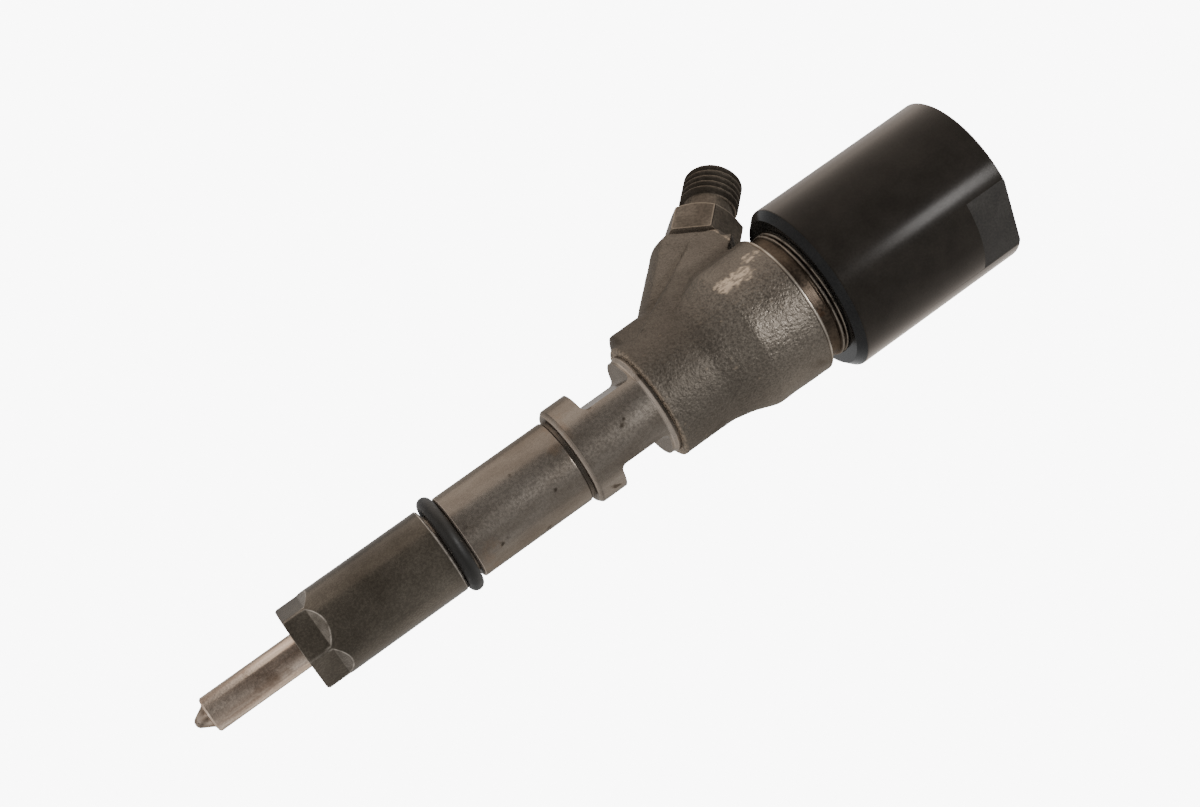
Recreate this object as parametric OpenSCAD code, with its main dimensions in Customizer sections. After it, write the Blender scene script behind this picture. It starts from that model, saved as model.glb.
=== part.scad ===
// Common-rail diesel injector with a side high-pressure inlet and a solenoid
// control valve on top. The injector axis is Z and the nozzle points down.
// The origin is on the axis, in the sealing face under the nozzle nut.

/* [Nozzle] */
// Diameter of the nozzle shank below the nut
shank_d = 7.0; // [6.8:0.05:7.2]
// Length of the shank below the nut
shank_len = 19.3; // [16:0.1:24]
// Height of the nipple that carries the spray holes
nipple_h = 2.85; // [2.5:0.05:3.4]
// Number of spray holes
spray_count = 8; // [5:1:10]
// Diameter of each spray hole
spray_d = 0.2; // [0.12:0.01:0.3]
// Guide diameter of the needle
needle_d = 4.0; // [3.6:0.05:4.4]
// Lift of the needle off its seat
needle_lift = 0.25; // [0.15:0.01:0.35]

/* [Nozzle nut] */
// Outer diameter of the nut, and of the shank above it
nut_d = 17.0; // [16.6:0.1:17.4]
// Length of the nut
nut_len = 30.4; // [28:0.1:32]
// Width across the flats milled at the foot of the nut
nut_flats = 15.0; // [14.6:0.1:15.4]
// Height of those flats
nut_flat_h = 4.6; // [3:0.1:6]
// Diameter of the thread that the nut screws on to
nozzle_thread_d = 14.0; // [13.8:0.1:14.2]

/* [Holder body] */
// Height of the shoulder that closes the O-ring groove
groove_top_z = 34.0; // [33.5:0.1:35]
// Height where the collar starts
collar_z = 58.8; // [56:0.1:60]
// Diameter of the collar and of the slotted neck
neck_d = 20.1; // [19.6:0.1:20.6]
// Height of the shoulder that the clamp presses on
slot_z = 64.6; // [63:0.1:65]
// Opening of each clamp slot
slot_h = 10.4; // [9:0.1:11]
// Thickness left between the two clamp slots
slot_flats = 12.0; // [11.6:0.1:12.6]
// Angle of the slots round the axis, from the inlet
slot_azimuth = 47; // [40:1:55]
// Height of the forged head's lower face
head_z = 76.8; // [76:0.1:78]
// Diameter of the forged head's lower barrel
head_low_d = 23.8; // [23:0.1:24.6]
// Diameter of the forged head's upper barrel
head_top_d = 29.0; // [28:0.1:30]
// Height of the forged head's top edge
head_top_z = 109.2; // [108:0.1:111]
// Diameter of the thread for the solenoid cap nut
cap_thread_d = 27.0; // [26.6:0.1:27.4]

/* [Inlet] */
// Angle between the inlet and the injector axis
inlet_angle = 46.3; // [44:0.1:50]
// Height where the inlet axis meets the injector axis
inlet_z = 82.9; // [81:0.1:85]
// Distance along the inlet axis to the face of the boss
boss_face = 32.8; // [31:0.1:34]
// Radius of the boss about the inlet axis
boss_r = 9.35; // [9:0.05:9.8]
// Width across the boss's side faces, at its end
boss_w = 16.0; // [15:0.1:17]
// Distance along the inlet axis to the end of the fitting
inlet_end = 53.5; // [52:0.1:56]
// Outer diameter of the pipe thread
inlet_thread_d = 12.0; // [11.8:0.1:12.2]
// Width across the fitting's hexagon
inlet_hex = 14.0; // [13.8:0.1:14.6]

/* [Solenoid] */
// Outer diameter of the solenoid cap nut
cap_d = 35.0; // [34.5:0.1:36]
// Height of the cap nut's lower face
cap_z = 113.3; // [113:0.1:114]
// Height of the cap nut's upper rim
cap_top_z = 151.9; // [151:0.1:153]
// Width across the cap nut's spanner flats
cap_flats = 31.3; // [31:0.1:32]
// Height of the spanner flats, down from the rim
cap_flat_h = 9.0; // [7:0.1:11]
// Direction that the first spanner flat faces, from the inlet
cap_flat_azimuth = 173.6; // [160:0.1:190]
// Lift of the armature and the valve ball
armature_lift = 0.06; // [0.03:0.01:0.09]
// Distance between the two terminal studs
stud_pitch = 12.0; // [11:0.1:13]
// Diameter of the terminal studs
stud_d = 4.0; // [3.8:0.1:4.2]

/* [Hidden] */

$fn = 96;
eps = 0.01;
bore_fn = 48;
small_fn = 32;

// Guided parts run in their bores with this radial clearance
slide_gap = 0.02;
// Parts that only pass through a bore clear it by this much
free_gap = 0.1;

nut_r = nut_d / 2;
shank_r = shank_d / 2;
shank_neck_r = shank_r - 0.3;
needle_r = needle_d / 2;
nose_r = nozzle_thread_d / 2;
nozzle_seat_z = 4.5;
nozzle_top_z = 17.0;
nozzle_flange_r = nose_r - 0.1;
nut_edge = 0.4;
nut_hole_r = shank_r + 0.25;
nut_shoulder_rise = 1.75;
tip_z = -shank_len - nipple_h;
needle_seat_z = -shank_len + 0.5;
dowel_r = 0.95;
dowel_len = 5;
dowel_orbit = 5.3;
dowel_azimuths = [120, 240];

// The feed drilling leans out from the nozzle's top face to meet the inlet drilling
feed_r = 0.7;
feed_x = 5.3;
feed_top_x = 7.4;
inlet_way_r = 1.0;
spring_room_r = 3.9;
spring_room_top = 42.0;
spring_wire_r = 0.45;
spring_mean_r = 3.25;
spring_turns = 11;
seat_h = 2.0;
shim_h = 1.0;
piston_r = 2.1;
piston_room_r = 2.4;
piston_foot_z = nozzle_top_z + seat_h;

oring_section_r = 1.5;
oring_mean_r = 8.35;
oring_z = (nut_len + groove_top_z) / 2;

neck_r = neck_d / 2;
collar_edge = 0.7;
head_low_r = head_low_d / 2;
head_top_r = head_top_d / 2;
flare_z = head_z + 12.4;
flare_top_z = head_z + 20.0;
lobe_r = boss_r;
lobe_x = 6.7;
lobe_top_z = head_z + 12.5;
relief_r = 13.0;
relief_top_z = head_top_z + 2.7;
cap_thread_r = cap_thread_d / 2;
body_top_z = head_top_z + 13.4;
room_r = 10.5;
room_floor_z = head_top_z - 4.6;

valve_bore_r = 5.6;
valve_flange_r = 8.6;
valve_top_z = room_floor_z;
valve_flange_z = valve_top_z - 4.0;
valve_floor_z = valve_top_z - 19.0;
valve_neck_r = 4.2;
control_room_z = valve_top_z - 7.0;
seal_ring_h = 1.2;
backup_ring_h = 0.8;
throttle_r = 0.2;
// Sloping return way, from the armature room out through the side of the head
return_r = 0.9;
return_azimuth = -70;
return_z = room_floor_z + 7.6;
return_slope = 28;

ball_r = 0.7;
ball_z = valve_top_z + 0.35;
guide_foot_z = ball_z + 0.2;
stem_foot_z = valve_top_z + 2.6;
plate_z = valve_top_z + 11.2;
plate_h = 1.8;
plate_r = 8.0;
stem_r = 1.5;
air_gap = armature_lift + 0.06;
magnet_z = plate_z + plate_h + air_gap;
magnet_r = 9.2;
magnet_h = 10.5;
magnet_bore_r = 2.6;
coil_in_r = 4.6;
coil_out_r = 7.6;
coil_h = 6.5;
flange_z = body_top_z;
flange_h = 4.0;
flange_r = 13.1;
housing_r = 10.9;
magnet_oring_z = body_top_z - 2.6;
housing_top_z = body_top_z + 14.0;
cap_r = cap_d / 2;
cap_bore_r = 11.0;
cap_edge = 1.5;
recess_z = housing_top_z + 2.0;
recess_r = 13.4;
block_z = housing_top_z;
block_top_z = recess_z + 4.5;
stud_foot_z = block_z + 1.5;
stud_r = stud_d / 2;
stud_root_r = stud_r - 0.35;
stud_top_z = block_top_z + 7.0;
lead_r = 0.45;
lead_orbit = stud_pitch / 2;
terminal_azimuths = [90, 270];
nut_h = 3.2;

hex_z = boss_face + 1.2;
hex_top = hex_z + 6.9;
fitting_neck_r = 5.05;
thread_start = 45.4;
fitting_root_r = 5.0;
fitting_foot = 19.5;
fitting_bore_r = 1.5;
filter_r = 2.1;
filter_foot = 37.0;
filter_len = 11.5;

steel = [0.50, 0.49, 0.47];
dark_steel = [0.20, 0.18, 0.17];
forged = [0.36, 0.33, 0.30];
black = [0.06, 0.06, 0.06];
rubber = [0.03, 0.03, 0.03];
spring_steel = [0.42, 0.42, 0.44];
copper = [0.72, 0.38, 0.20];
plastic = [0.10, 0.10, 0.11];
brass = [0.74, 0.60, 0.30];

// Moves its children into the inlet's frame: Z runs out along the inlet
module inlet_frame() {
  translate([0, 0, inlet_z]) rotate([0, inlet_angle, 0]) children();
}

// Copies its children to each angle in a list
module at_angles(angles) {
  for (a = angles) rotate(a) children();
}

// A ring or disc between two heights
module ring(r_out, r_in, z0, z1) {
  translate([0, 0, z0]) difference() {
    cylinder(r = r_out, h = z1 - z0);
    if (r_in > 0) translate([0, 0, -eps]) cylinder(r = r_in, h = z1 - z0 + 2 * eps, $fn = bore_fn);
  }
}

// A cylinder between two heights
module rod(r, z0, z1) {
  translate([0, 0, z0]) cylinder(r = r, h = z1 - z0, $fn = bore_fn);
}

// Two rods side by side, one on each terminal's side of the axis
module terminal_rods(orbit, r, z0, z1) {
  at_angles(terminal_azimuths) translate([orbit, 0, 0]) rod(r, z0, z1);
}

// A solid of revolution from a list of [radius, height] points
module turned(points) {
  rotate_extrude() polygon(points);
}

// Six-sided prism, measured across its flats, with two flats square to the Y axis
module hexagon(across, z0, z1) {
  translate([0, 0, z0]) cylinder(r = across / 2 / cos(30), h = z1 - z0, $fn = 6);
}

// Outline of two circles on the X axis and the straight lines that touch both
module two_circle_outline(r_a, r_b, spacing) {
  touch = acos((r_a - r_b) / spacing);
  circle(r = r_a);
  translate([spacing, 0]) circle(r = r_b);
  polygon([[r_a * cos(touch), r_a * sin(touch)],
           [spacing + r_b * cos(touch), r_b * sin(touch)],
           [spacing + r_b * cos(touch), -r_b * sin(touch)],
           [r_a * cos(touch), -r_a * sin(touch)]]);
}

// Round-wire coil: a tube swept along a helix, with flat closing turns
module coil_spring(mean_r, wire_r, turns, z0, z1, steps = 18, sides = 8) {
  n = turns * steps;
  low = z0 + wire_r;
  high = z1 - wire_r;
  squeeze = 2.05 * wire_r;
  rise = [for (i = [0:n]) let (t = i / steps)
    t < 1 ? low + squeeze * t
    : t > turns - 1 ? high - squeeze * (turns - t)
    : low + squeeze + (high - low - 2 * squeeze) * (t - 1) / (turns - 2)];
  points = [for (i = [0:n], k = [0:sides - 1])
    let (a = 360 * i / steps, b = 360 * k / sides, r = mean_r + wire_r * cos(b))
    [r * cos(a), r * sin(a), rise[i] + wire_r * sin(b)]];
  walls = [for (i = [0:n - 1], k = [0:sides - 1])
    let (p = i * sides, q = p + sides, m = (k + 1) % sides)
    [p + k, p + m, q + m, q + k]];
  ends = [[for (k = [sides - 1:-1:0]) k], [for (k = [0:sides - 1]) n * sides + k]];
  polyhedron(points, concat(walls, ends), convexity = 10);
}

// ---- Nozzle ----

module nozzle_body() color(steel) difference() {
  turned([[0, tip_z], [0.55, tip_z + 0.06], [1.0, tip_z + 0.42], [1.3, tip_z + 1.0],
          [2.3, -shank_len - 0.1], [shank_r - 0.3, -shank_len],
          [shank_r, -shank_len + 0.3], [shank_r, 0], [shank_neck_r, 0],
          [shank_neck_r, nozzle_seat_z], [nozzle_flange_r, nozzle_seat_z],
          [nozzle_flange_r, nozzle_top_z], [0, nozzle_top_z]]);
  // Needle guide, fuel gallery, annular passage, seat cone and sac
  rod(needle_r, 7.5, nozzle_top_z + eps);
  translate([0, 0, 4.6]) cylinder(r1 = 1.9, r2 = 3.0, h = 1.4, $fn = bore_fn);
  rod(3.0, 6.0, 7.2);
  translate([0, 0, 7.2]) cylinder(r1 = 3.0, r2 = needle_r, h = 0.6, $fn = bore_fn);
  rod(1.9, needle_seat_z, 4.6 + eps);
  translate([0, 0, needle_seat_z - 2.1]) cylinder(r1 = 0.45, r2 = 1.9, h = 2.1 + eps, $fn = bore_fn);
  rod(0.45, tip_z + 0.5, needle_seat_z - 2.0);
  // Spray holes
  at_angles([for (i = [0:spray_count - 1]) i * 360 / spray_count])
    translate([0.2, 0, tip_z + 0.95]) rotate([0, 105, 0])
      cylinder(r = spray_d / 2, h = 2, $fn = 16);
  // Feed from the top face to the gallery, and the dowel holes
  feed_tilt = atan((feed_x - 2.6) / (nozzle_top_z - 6.6));
  translate([2.6, 0, 6.6]) rotate([0, feed_tilt, 0]) cylinder(r = feed_r, h = 12, $fn = small_fn);
  dowels();
}

module nozzle_needle() color(spring_steel) {
  guide_r = needle_r - slide_gap;
  shaft_r = 1.5;
  turned([[0, needle_seat_z - 1.83], [0.62, needle_seat_z - 1.83], [shaft_r, needle_seat_z - 0.55],
          [shaft_r, 4.4], [guide_r, 8.4], [guide_r, nozzle_top_z - 0.4],
          [guide_r - 0.3, nozzle_top_z], [0, nozzle_top_z]]);
}

module nozzle_nut() color(dark_steel) difference() {
  turned([[nut_hole_r + 0.6, 0], [nut_r - nut_edge, 0], [nut_r, nut_edge],
          [nut_r, nut_len - 0.3], [nut_r - 0.3, nut_len], [nose_r, nut_len],
          [nose_r, nozzle_seat_z], [nut_hole_r, nozzle_seat_z], [nut_hole_r, 0.6]]);
  // Six flats, each run out by a sloping shoulder
  at_angles([for (i = [0:5]) 1.5 + 60 * i]) rotate([90, 0, 0])
    linear_extrude(nut_d, center = true)
      polygon([[nut_flats / 2, -1], [nut_r + 1, -1],
               [nut_r + 1, nut_flat_h + nut_shoulder_rise * (nut_r + 1 - nut_flats / 2)
                / (nut_r - nut_flats / 2)],
               [nut_flats / 2, nut_flat_h]]);
}

module nozzle_dowel_pins() color(steel) dowels();

module spring_seat() color(spring_steel) difference() {
  ring(spring_room_r - free_gap, 0, nozzle_top_z, nozzle_top_z + seat_h);
  at_angles([0, 90, 180, 270]) translate([spring_room_r + 0.2, 0, nozzle_top_z - eps])
    cylinder(r = 0.9, h = seat_h + 2 * eps, $fn = small_fn);
}

module nozzle_spring() color(spring_steel)
  coil_spring(spring_mean_r, spring_wire_r, spring_turns, piston_foot_z, spring_room_top - shim_h);

module spring_shim() color(steel)
  ring(spring_room_r - free_gap, piston_room_r, spring_room_top - shim_h, spring_room_top);

// ---- Holder body ----

module body_oring() color(rubber)
  translate([0, 0, oring_z]) rotate_extrude() translate([oring_mean_r, 0]) circle(r = oring_section_r);

// The machined stem, from the nozzle thread to the underside of the head
module stem_solid() {
  undercut = 0.35;
  turned([[0, nozzle_top_z], [nose_r - 0.4, nozzle_top_z], [nose_r, nozzle_top_z + 0.4],
          [nose_r, nut_len], [nose_r - 0.15, nut_len], [nose_r - 0.15, groove_top_z],
          [nut_r - 0.3, groove_top_z], [nut_r, groove_top_z + 0.3],
          [nut_r, collar_z - 0.9], [nut_r - undercut, collar_z - 0.6],
          [nut_r - undercut, collar_z], [neck_r - collar_edge, collar_z],
          [neck_r - 0.2, collar_z + 0.2], [neck_r, collar_z + collar_edge],
          [neck_r, head_z + 2], [0, head_z + 2]]);
}

// The forged head: two barrels joined by a flare, and a lobe under the inlet
module barrel_solid() {
  slope = 1.9;
  // The lobe's lower face slopes up away from the barrel
  hull() {
    translate([0, 0, head_z]) cylinder(r = head_low_r - 1.2, h = eps);
    translate([0, 0, head_z + slope]) linear_extrude(lobe_top_z - head_z - slope)
      two_circle_outline(head_low_r - eps, lobe_r, lobe_x);
  }
  turned([[0, head_z - 0.8], [neck_r, head_z - 0.8], [neck_r + 0.4, head_z],
          [head_low_r - 0.8, head_z], [head_low_r, head_z + 0.8], [head_low_r, flare_z],
          [(head_low_r + head_top_r) / 2 - 0.15, (flare_z + flare_top_z) / 2],
          [head_top_r, flare_top_z], [head_top_r, head_top_z - 0.4],
          [head_top_r - 0.4, head_top_z], [relief_r, head_top_z],
          [relief_r, relief_top_z], [cap_thread_r, relief_top_z + 0.5],
          [cap_thread_r, body_top_z - 0.6], [cap_thread_r - 0.6, body_top_z], [0, body_top_z]]);
}

// Section of the inlet boss: round below, with flat sides and a square top
module boss_outline(shrink = 0) {
  r = boss_r - shrink;
  half = boss_w / 2 - shrink;
  intersection() {
    circle(r = r);
    translate([-r, -half]) square([2 * r, 2 * half]);
  }
  polygon([[0, -half], [0, half], [-6.2 + shrink / 2, half], [-8.6 + shrink, 4.2],
           [-8.6 + shrink, -4.2], [-6.2 + shrink / 2, -half]]);
}

module boss_solid() {
  flank_foot = 12;
  flank_w = 22;
  end_slope = 2.4;
  // Straight part of the boss
  inlet_frame() translate([0, 0, 8]) linear_extrude(boss_face - end_slope - 8) boss_outline();
  // Rounded end
  inlet_frame() hull() {
    translate([0, 0, boss_face - end_slope - 0.1]) linear_extrude(0.1) boss_outline();
    translate([0, 0, boss_face - 0.1]) linear_extrude(0.1) boss_outline(0.9);
  }
  // Flanks that spread from the boss to the barrels
  inlet_frame() hull() {
    translate([-5, 0, boss_face - end_slope - 0.2]) linear_extrude(0.1)
      square([8, boss_w], center = true);
    translate([-4, 0, flank_foot]) linear_extrude(0.1) square([10, flank_w], center = true);
    translate([0, 0, 4]) linear_extrude(0.1) square([8, flank_w], center = true);
  }
}

module clamp_slots() {
  corner = 1.0;
  at_angles([slot_azimuth, slot_azimuth + 180])
    rotate([90, 0, 0]) linear_extrude(neck_d + 4, center = true)
      hull() {
        for (z = [slot_z + corner, slot_z + slot_h - corner])
          translate([slot_flats / 2 + corner, z]) circle(r = corner, $fn = small_fn);
        translate([neck_r + 3, slot_z]) square([1, slot_h]);
      }
}

// Bores for the spring, the piston, the valve and the armature, and the fuel ways
module holder_bores() {
  rod(spring_room_r, nozzle_top_z - eps, spring_room_top);
  rod(piston_room_r, spring_room_top - eps, valve_floor_z + eps);
  rod(valve_bore_r, valve_floor_z, valve_flange_z + eps);
  rod(valve_flange_r + 0.1, valve_flange_z, room_floor_z + eps);
  rod(room_r, room_floor_z, body_top_z + eps);
  dowels();
  nozzle_feed();
  inlet_way();
  return_way();
}

// Feed from the inlet drilling down to the nozzle
module nozzle_feed() {
  rise = inlet_z + feed_top_x / tan(inlet_angle) - nozzle_top_z;
  lean = atan((feed_top_x - feed_x) / rise);
  translate([feed_x, 0, nozzle_top_z]) rotate([0, lean, 0]) translate([0, 0, -1])
    cylinder(r = feed_r, h = rise / cos(lean) + 1, $fn = small_fn);
}

// Seat and thread for the inlet fitting, and the drilling from it to the valve
module inlet_way() inlet_frame() {
  way_foot = (valve_bore_r - 0.5) / sin(inlet_angle);
  cone_h = fitting_root_r - inlet_way_r;
  rod(inlet_way_r, way_foot, fitting_foot + 1);
  translate([0, 0, fitting_foot])
    cylinder(r1 = inlet_way_r, r2 = fitting_root_r, h = cone_h, $fn = bore_fn);
  rod(fitting_root_r, fitting_foot + cone_h, boss_face + 2);
}

module return_way() {
  rotate(return_azimuth) translate([room_r - 1, 0, return_z]) rotate([0, 180 - return_slope, 0])
    translate([0, 0, -1]) cylinder(r = return_r, h = 16, $fn = small_fn);
}

// Two dowels across the joint between the nozzle and the holder, also used as their holes
module dowels() {
  at_angles(dowel_azimuths) translate([dowel_orbit, 0, nozzle_top_z - dowel_len / 2])
    cylinder(r = dowel_r, h = dowel_len, $fn = small_fn);
}

module holder_body() color(forged) difference() {
  union() {
    stem_solid();
    barrel_solid();
    boss_solid();
  }
  clamp_slots();
  holder_bores();
}

module control_piston() color(spring_steel)
  turned([[0, piston_foot_z], [piston_r - 0.3, piston_foot_z], [piston_r, piston_foot_z + 0.3],
          [piston_r, control_room_z - needle_lift - 0.55],
          [piston_r - 0.4, control_room_z - needle_lift - 0.15],
          [0, control_room_z - needle_lift - 0.15]]);

// ---- Valve ----

module valve_seal_ring() color(brass)
  ring(valve_bore_r, valve_neck_r, valve_floor_z, valve_floor_z + seal_ring_h);

module valve_backup_ring() color(steel)
  ring(valve_bore_r, valve_neck_r, valve_floor_z + seal_ring_h,
       valve_floor_z + seal_ring_h + backup_ring_h);

module valve_body() color(steel) difference() {
  shoulder_z = control_room_z + 1.0;
  turned([[0, valve_floor_z], [valve_neck_r, valve_floor_z], [valve_neck_r, shoulder_z],
          [valve_bore_r - 0.05, shoulder_z], [valve_bore_r - 0.05, valve_flange_z],
          [valve_flange_r, valve_flange_z], [valve_flange_r, valve_top_z],
          [2.4, valve_top_z], [2.0, valve_top_z - 0.25], [0, valve_top_z - 0.25]]);
  // Piston guide, control room, outlet throttle and ball seat
  rod(piston_r + slide_gap, valve_floor_z - eps, control_room_z);
  rod(0.5, control_room_z - eps, valve_top_z - 2.0);
  rod(throttle_r, valve_top_z - 2.5, valve_top_z);
  translate([0, 0, ball_z]) sphere(r = ball_r + slide_gap, $fn = bore_fn);
  // Inlet throttle, from the annular pressure room into the control room
  translate([0, 0, control_room_z - 0.5]) rotate([0, 90, 0])
    cylinder(r = throttle_r, h = valve_neck_r + 1, $fn = 16);
}

module valve_clamp_screw() color(steel) difference() {
  ring(room_r - 0.05, 5.0, room_floor_z, room_floor_z + 3.2);
  at_angles([for (i = [0:3]) 45 + 90 * i]) translate([7.6, 0, room_floor_z + 1.2])
    cylinder(r = 1.0, h = 3, $fn = small_fn);
}

module valve_ball() color(spring_steel)
  translate([0, 0, ball_z]) sphere(r = ball_r, $fn = bore_fn);

module ball_guide() color(steel) difference() {
  turned([[0, guide_foot_z], [1.1, guide_foot_z], [1.4, guide_foot_z + 0.4],
          [1.4, stem_foot_z], [0, stem_foot_z]]);
  translate([0, 0, ball_z]) sphere(r = ball_r, $fn = bore_fn);
}

// ---- Armature ----

module lift_shim() color(steel)
  ring(room_r - 0.05, 7.6, room_floor_z + 3.2, room_floor_z + 4.0);

// Guides the stem, carries the overtravel spring, and holds the air-gap shim on its rim
module armature_guide() color(steel) {
  z0 = room_floor_z + 4.0;
  rim_z = magnet_z - 2.9;
  difference() {
    turned([[stem_r + slide_gap, z0], [room_r - 0.05, z0], [room_r - 0.05, rim_z],
            [magnet_r + 0.1, rim_z], [magnet_r + 0.1, z0 + 2.0],
            [4.0, z0 + 2.0], [4.0, z0 + 3.2], [2.4, z0 + 3.2], [2.4, z0 + 4.4],
            [stem_r + slide_gap, z0 + 4.4]]);
    at_angles([for (i = [0:2]) 30 + 120 * i]) translate([6.5, 0, z0 - 1])
      cylinder(r = 1.6, h = 4, $fn = small_fn);
    rotate(return_azimuth) translate([magnet_r - 1, 0, return_z]) rotate([0, 90, 0])
      cylinder(r = 1.4, h = 4, $fn = small_fn);
  }
}

module overtravel_spring() color(spring_steel)
  coil_spring(3.0, 0.3, 4, room_floor_z + 7.2, plate_z, 16, 8);

module armature_stem() color(spring_steel) {
  top = plate_z + plate_h;
  neck = stem_r - 0.35;
  turned([[0, stem_foot_z], [stem_r, stem_foot_z], [stem_r, top + 0.3], [neck, top + 0.3],
          [neck, top + 1.1], [2.3, top + 1.1], [2.3, top + 2.2], [1.3, top + 2.2],
          [1.3, top + 3.2], [0, top + 3.2]]);
}

module armature_plate() color(dark_steel) difference() {
  ring(plate_r, stem_r, plate_z, plate_z + plate_h);
  // Slots that let the fuel past
  at_angles([for (i = [0:4]) i * 72]) translate([4.6, -0.5, plate_z - eps])
    cube([plate_r, 1, plate_h + 2 * eps]);
}

module stem_clip() color(spring_steel) difference() {
  ring(2.3, stem_r - 0.35, plate_z + plate_h + 0.3, plate_z + plate_h + 1.1);
  translate([0, -0.8, plate_z + plate_h]) cube([4, 1.6, 3]);
}

// ---- Magnet ----

module air_gap_shim() color(steel)
  ring(room_r - 0.05, magnet_r + 0.1, magnet_z - 2.9, magnet_z - 1.6);

module magnet_core() color(dark_steel) difference() {
  ring(magnet_r, magnet_bore_r, magnet_z, magnet_z + magnet_h);
  ring(coil_out_r, coil_in_r, magnet_z - eps, magnet_z + coil_h);
  terminal_rods(lead_orbit, lead_r + 0.45, magnet_z, magnet_z + magnet_h + 1);
}

module coil_bobbin() color(plastic) difference() {
  ring(coil_out_r, coil_in_r, magnet_z + 0.1, magnet_z + coil_h);
  ring(coil_out_r + 1, coil_in_r + 0.5, magnet_z + 0.7, magnet_z + coil_h - 0.6);
  terminal_rods(lead_orbit, lead_r + 0.05, magnet_z, magnet_z + magnet_h);
}

module coil_winding() color(copper)
  ring(coil_out_r - 0.1, coil_in_r + 0.5, magnet_z + 0.7, magnet_z + coil_h - 0.6);

module armature_spring() color(spring_steel)
  coil_spring(1.9, 0.4, 6, plate_z + plate_h + 2.2, magnet_z + magnet_h - 1.2, 16, 8);

module spring_force_shim() color(steel)
  ring(magnet_bore_r - 0.05, 0.8, magnet_z + magnet_h - 1.2, magnet_z + magnet_h);

module magnet_housing() color(steel) {
  spigot_z = magnet_z - 1.6;
  core_top = magnet_z + magnet_h;
  groove_z = magnet_oring_z - 0.8;
  difference() {
    turned([[magnet_r, spigot_z], [room_r - 0.05, spigot_z], [room_r - 0.05, groove_z],
            [room_r - 0.75, groove_z], [room_r - 0.75, groove_z + 1.6],
            [room_r - 0.05, groove_z + 1.6], [room_r - 0.05, flange_z], [flange_r, flange_z],
            [flange_r, flange_z + flange_h], [housing_r, flange_z + flange_h],
            [housing_r, housing_top_z], [0, housing_top_z], [0, core_top], [magnet_r, core_top]]);
    terminal_rods(lead_orbit, lead_r + 0.45, core_top - 1, housing_top_z + 1);
  }
}

module magnet_oring() color(rubber)
  translate([0, 0, magnet_oring_z]) rotate_extrude() translate([room_r - 0.4, 0])
    circle(r = 0.34, $fn = small_fn);

module coil_leads() color(copper)
  terminal_rods(lead_orbit, lead_r, magnet_z + coil_h - 0.55, stud_foot_z);

// ---- Terminals and cap nut ----

module terminal_block() color(plastic) difference() {
  union() {
    ring(housing_r, 0, block_z, recess_z);
    ring(recess_r - 1.2, 0, recess_z, block_top_z - 1.5);
    // Wall between the terminals
    translate([-9, -1, recess_z]) cube([18, 2, 9]);
    terminal_rods(stud_pitch / 2, 4.2, recess_z, block_top_z);
  }
  terminal_rods(stud_pitch / 2, stud_root_r, stud_foot_z, block_top_z + 1);
  terminal_rods(lead_orbit, lead_r + 0.05, block_z - 1, stud_foot_z + eps);
}

// The length inside the block and the nut is drawn at the root of the thread
module terminal_studs() color(brass)
  at_angles(terminal_azimuths) translate([stud_pitch / 2, 0, 0])
    turned([[0, stud_foot_z], [stud_root_r, stud_foot_z], [stud_root_r, block_top_z + nut_h],
            [stud_r, block_top_z + nut_h], [stud_r, stud_top_z - 0.5],
            [stud_r - 0.5, stud_top_z], [0, stud_top_z]]);

module terminal_nuts() color(brass)
  at_angles(terminal_azimuths) translate([stud_pitch / 2, 0, 0]) difference() {
    hexagon(7, block_top_z, block_top_z + nut_h);
    rod(stud_root_r, block_top_z - 1, block_top_z + nut_h + 1);
  }

module solenoid_cap_nut() color(black) difference() {
  turned([[cap_thread_r, cap_z], [cap_r - cap_edge, cap_z], [cap_r, cap_z + cap_edge],
          [cap_r, cap_top_z - 0.4], [cap_r - 0.4, cap_top_z], [recess_r, cap_top_z],
          [recess_r, recess_z], [cap_bore_r, recess_z], [cap_bore_r, flange_z + flange_h],
          [flange_r, flange_z + flange_h], [flange_r, body_top_z + 1], [cap_thread_r, body_top_z + 1]]);
  // Spanner flats
  at_angles([cap_flat_azimuth, cap_flat_azimuth + 180])
    translate([cap_flats / 2, -cap_r, cap_top_z - cap_flat_h]) cube([cap_r, cap_d, cap_flat_h + 1]);
}

// ---- Inlet ----

module inlet_connector() color(forged) inlet_frame() difference() {
  union() {
    turned([[0, fitting_foot + 0.6], [inlet_way_r + 0.6, fitting_foot + 0.6],
            [fitting_root_r, fitting_foot + fitting_root_r - inlet_way_r],
            [fitting_root_r, boss_face], [fitting_root_r + 0.6, hex_z],
            [fitting_neck_r, hex_z + 1], [fitting_neck_r, thread_start],
            [inlet_thread_d / 2, thread_start + 0.6], [inlet_thread_d / 2, inlet_end - 0.8],
            [inlet_thread_d / 2 - 0.8, inlet_end], [0, inlet_end]]);
    // Hexagon with a chamfered outer face
    intersection() {
      hexagon(inlet_hex, hex_z, hex_top);
      turned([[0, hex_z], [8.3, hex_z], [8.3, hex_top - 1.0], [6.9, hex_top], [0, hex_top]]);
    }
  }
  rod(fitting_bore_r, 10, inlet_end + 1);
  rod(filter_r, filter_foot, inlet_end - 3);
  // Sealing cone for the pipe
  translate([0, 0, inlet_end - 3.6]) cylinder(r1 = filter_r, r2 = 4.2, h = 3.6 + eps, $fn = bore_fn);
}

module edge_filter() color(steel) inlet_frame() difference() {
  rod(filter_r - 0.02, filter_foot, filter_foot + filter_len);
  at_angles([for (i = [0:5]) i * 60]) translate([filter_r, 0, filter_foot + 0.8])
    cylinder(r = 0.35, h = filter_len - 1.6, $fn = 16);
}

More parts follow.
